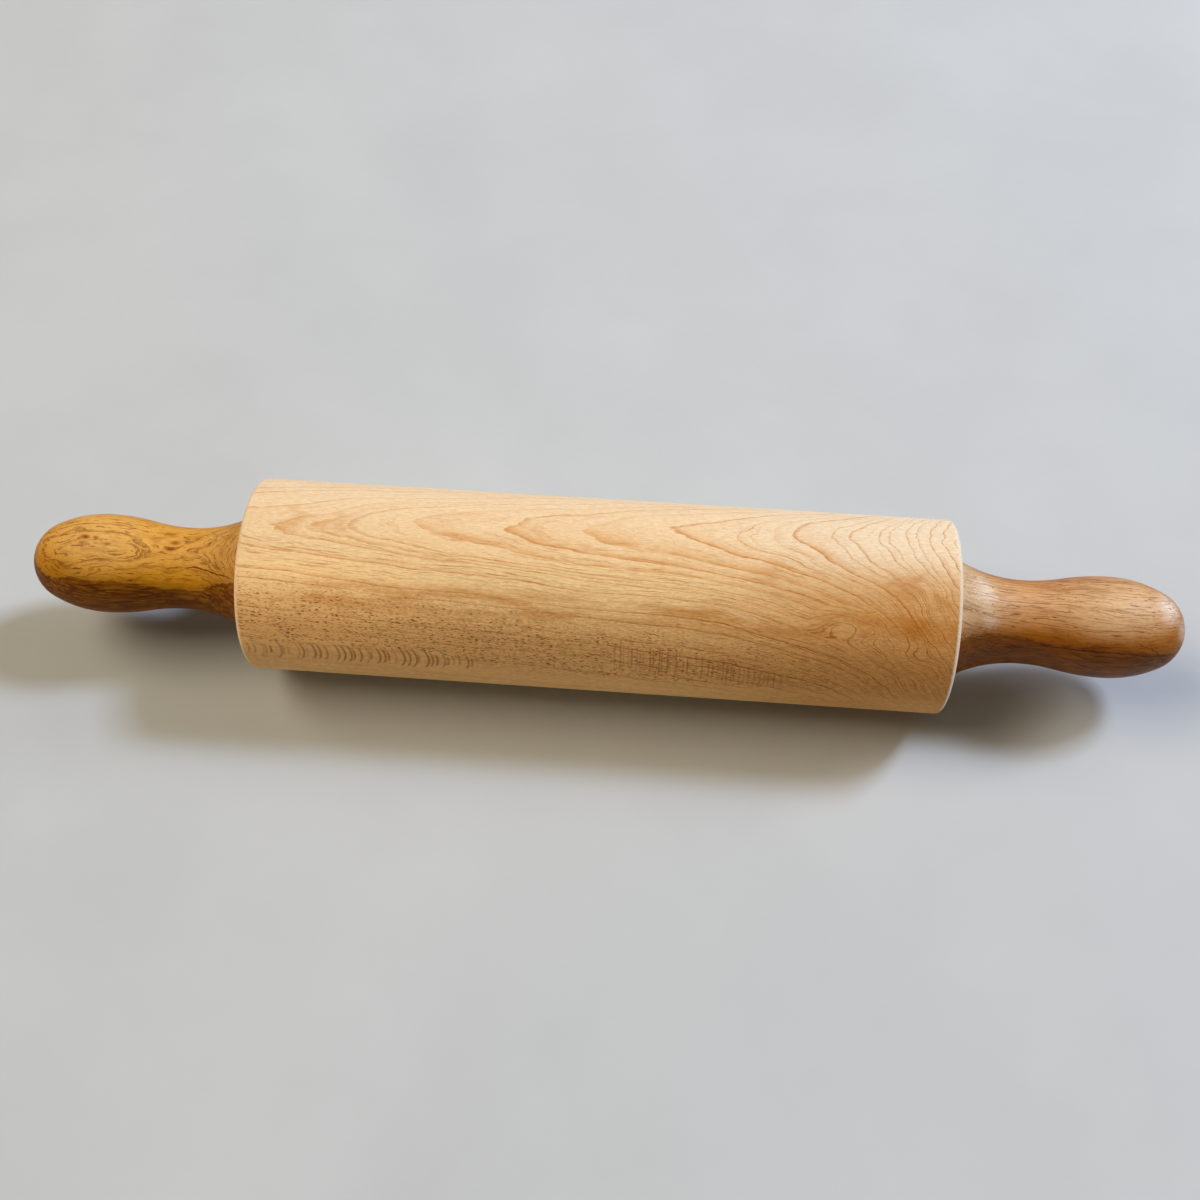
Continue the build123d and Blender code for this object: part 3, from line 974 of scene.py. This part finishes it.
def hang_lamps(scene):
    """Hangs the lamps, each turned to the pin."""
    for name, towards, distance, lamp_size, power, colour in LAMPS:
        lamp = bpy.data.lights.new(name, "AREA")
        lamp.shape = "RECTANGLE"
        lamp.size, lamp.size_y = lamp_size
        lamp.energy = power
        lamp.color = linear(colour)[:3]
        light = bpy.data.objects.new(name, lamp)
        direction = Vector(towards).normalized()
        light.location = direction * distance
        light.rotation_euler = direction.to_track_quat("Z", "Y").to_euler()
        scene.collection.objects.link(light)


def light_room(scene):
    """Gives the world a weak warm light, and a pale backdrop that the camera and reflections see."""
    world = scene.world or bpy.data.worlds.new("studio")
    scene.world = world
    world.use_nodes = True
    tree = world.node_tree
    tree.nodes.clear()
    rays = add(tree, "LightPath").node.outputs
    kinds = (rays["Is Camera Ray"], rays["Is Glossy Ray"], rays["Is Transmission Ray"])
    seen = joined(tree, "MAXIMUM", *kinds)
    light = add(tree, "Background", (linear(ROOM_LIGHT), ROOM_LIGHT_STRENGTH))
    backdrop = add(tree, "Background", (linear(BACKDROP), 1.0))
    add(tree, "OutputWorld", {"Surface": add(tree, "MixShader", (seen, light, backdrop))})


def set_camera(scene, settings):
    """Stands the camera in front of the pin and above it."""
    lens = bpy.data.cameras.new("camera")
    lens.sensor_width = 36.0
    lens.lens = settings.lens
    camera = bpy.data.objects.new("camera", lens)
    tilt = Matrix.Rotation(pi / 2 - settings.elevation, 4, "X")
    turn = Matrix.Rotation(settings.pan, 4, "Y") @ Matrix.Rotation(-settings.tilt, 4, "X")
    turn = turn @ Matrix.Rotation(settings.roll, 4, "Z")
    place = tilt @ Vector((settings.sideways, 0, settings.distance))
    camera.matrix_world = Matrix.Translation(place) @ tilt @ turn
    scene.collection.objects.link(camera)
    scene.camera = camera


class ROLLINGPIN_OT_stage(bpy.types.Operator):
    """Set the floor, the lights and the camera"""

    bl_idname = "rolling_pin.stage"
    bl_label = "Stage"

    def execute(self, context):
        scene = context.scene
        lay_floor(scene, scene.pin_stage.floor)
        hang_lamps(scene)
        light_room(scene)
        set_camera(scene, scene.pin_stage)
        scene.view_settings.view_transform = "Standard"
        return {"FINISHED"}


class ROLLINGPIN_PT_panel(bpy.types.Panel):
    """Lists the pin's sizes, colours and steps"""

    bl_idname = "ROLLINGPIN_PT_panel"
    bl_label = "Rolling pin"
    bl_space_type = "VIEW_3D"
    bl_region_type = "UI"
    bl_category = "Rolling pin"

    def draw(self, context):
        layout = self.layout
        for group in GROUPS:
            settings = getattr(context.scene, group)
            for name in settings.__annotations__:
                layout.prop(settings, name)
        for operator in OPERATORS:
            layout.operator(operator.bl_idname)


GROUPS = {
    "pin_roller": RollerSizes,
    "pin_handle": HandleSizes,
    "pin_colours": WoodColours,
    "pin_stage": StageSettings,
}
OPERATORS = (
    ROLLINGPIN_OT_roller,
    ROLLINGPIN_OT_handles,
    ROLLINGPIN_OT_axle,
    ROLLINGPIN_OT_bearings,
    ROLLINGPIN_OT_stage,
)


def register():
    """Adds the sizes, the operators and the panel."""
    for name, group in GROUPS.items():
        bpy.utils.register_class(group)
        setattr(bpy.types.Scene, name, bpy.props.PointerProperty(type=group))
    for made in (*OPERATORS, ROLLINGPIN_PT_panel):
        bpy.utils.register_class(made)


def unregister():
    """Takes them away again."""
    for made in reversed((*OPERATORS, ROLLINGPIN_PT_panel)):
        bpy.utils.unregister_class(made)
    for name, group in GROUPS.items():
        delattr(bpy.types.Scene, name)
        bpy.utils.unregister_class(group)


def main():
    """Builds the whole pin and its stage."""
    register()
    bpy.ops.rolling_pin.roller()
    bpy.ops.rolling_pin.handles()
    bpy.ops.rolling_pin.axle()
    bpy.ops.rolling_pin.bearings()
    bpy.ops.rolling_pin.stage()


if __name__ == "__main__":
    main()
